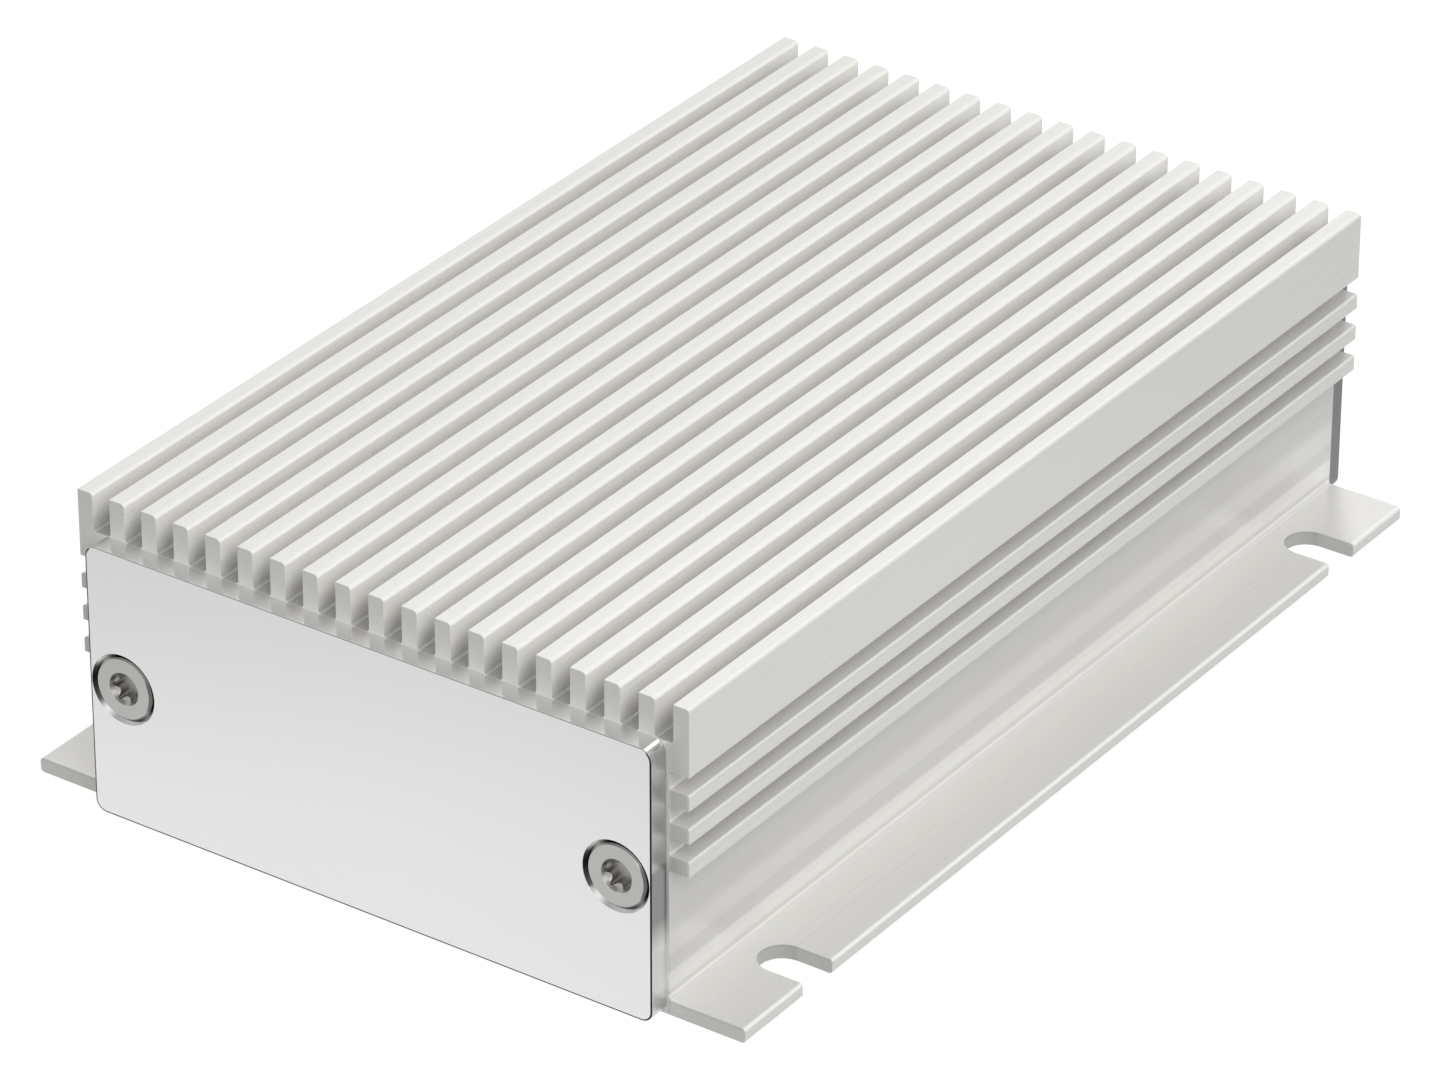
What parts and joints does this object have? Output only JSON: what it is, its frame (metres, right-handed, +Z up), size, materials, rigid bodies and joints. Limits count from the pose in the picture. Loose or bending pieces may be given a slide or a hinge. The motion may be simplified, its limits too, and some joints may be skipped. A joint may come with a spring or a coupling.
{
  "type": "extruded electrical enclosure",
  "caption": "Extruded aluminium enclosure with a finned top, ribbed sides, slotted base flanges and screwed-on flat end plates.",
  "frame": {"origin": "on the underside of the base, at the middle of the width and of the length", "axes": "+X across the enclosure to the right as seen from the front plate, +Y along the extrusion to the rear plate, +Z up to the fins"},
  "size_m": [0.1056, 0.156, 0.0426],
  "materials": {
    "anodised_aluminium": "satin silver anodised",
    "bright_aluminium": "bright smooth",
    "screw_steel": "plain steel"
  },
  "bodies": {
    "root": {"housing_profile": "anodised_aluminium", "front_plate": "bright_aluminium", "rear_plate": "bright_aluminium", "plate_screws": "screw_steel"}
  },
  "joints": []
}
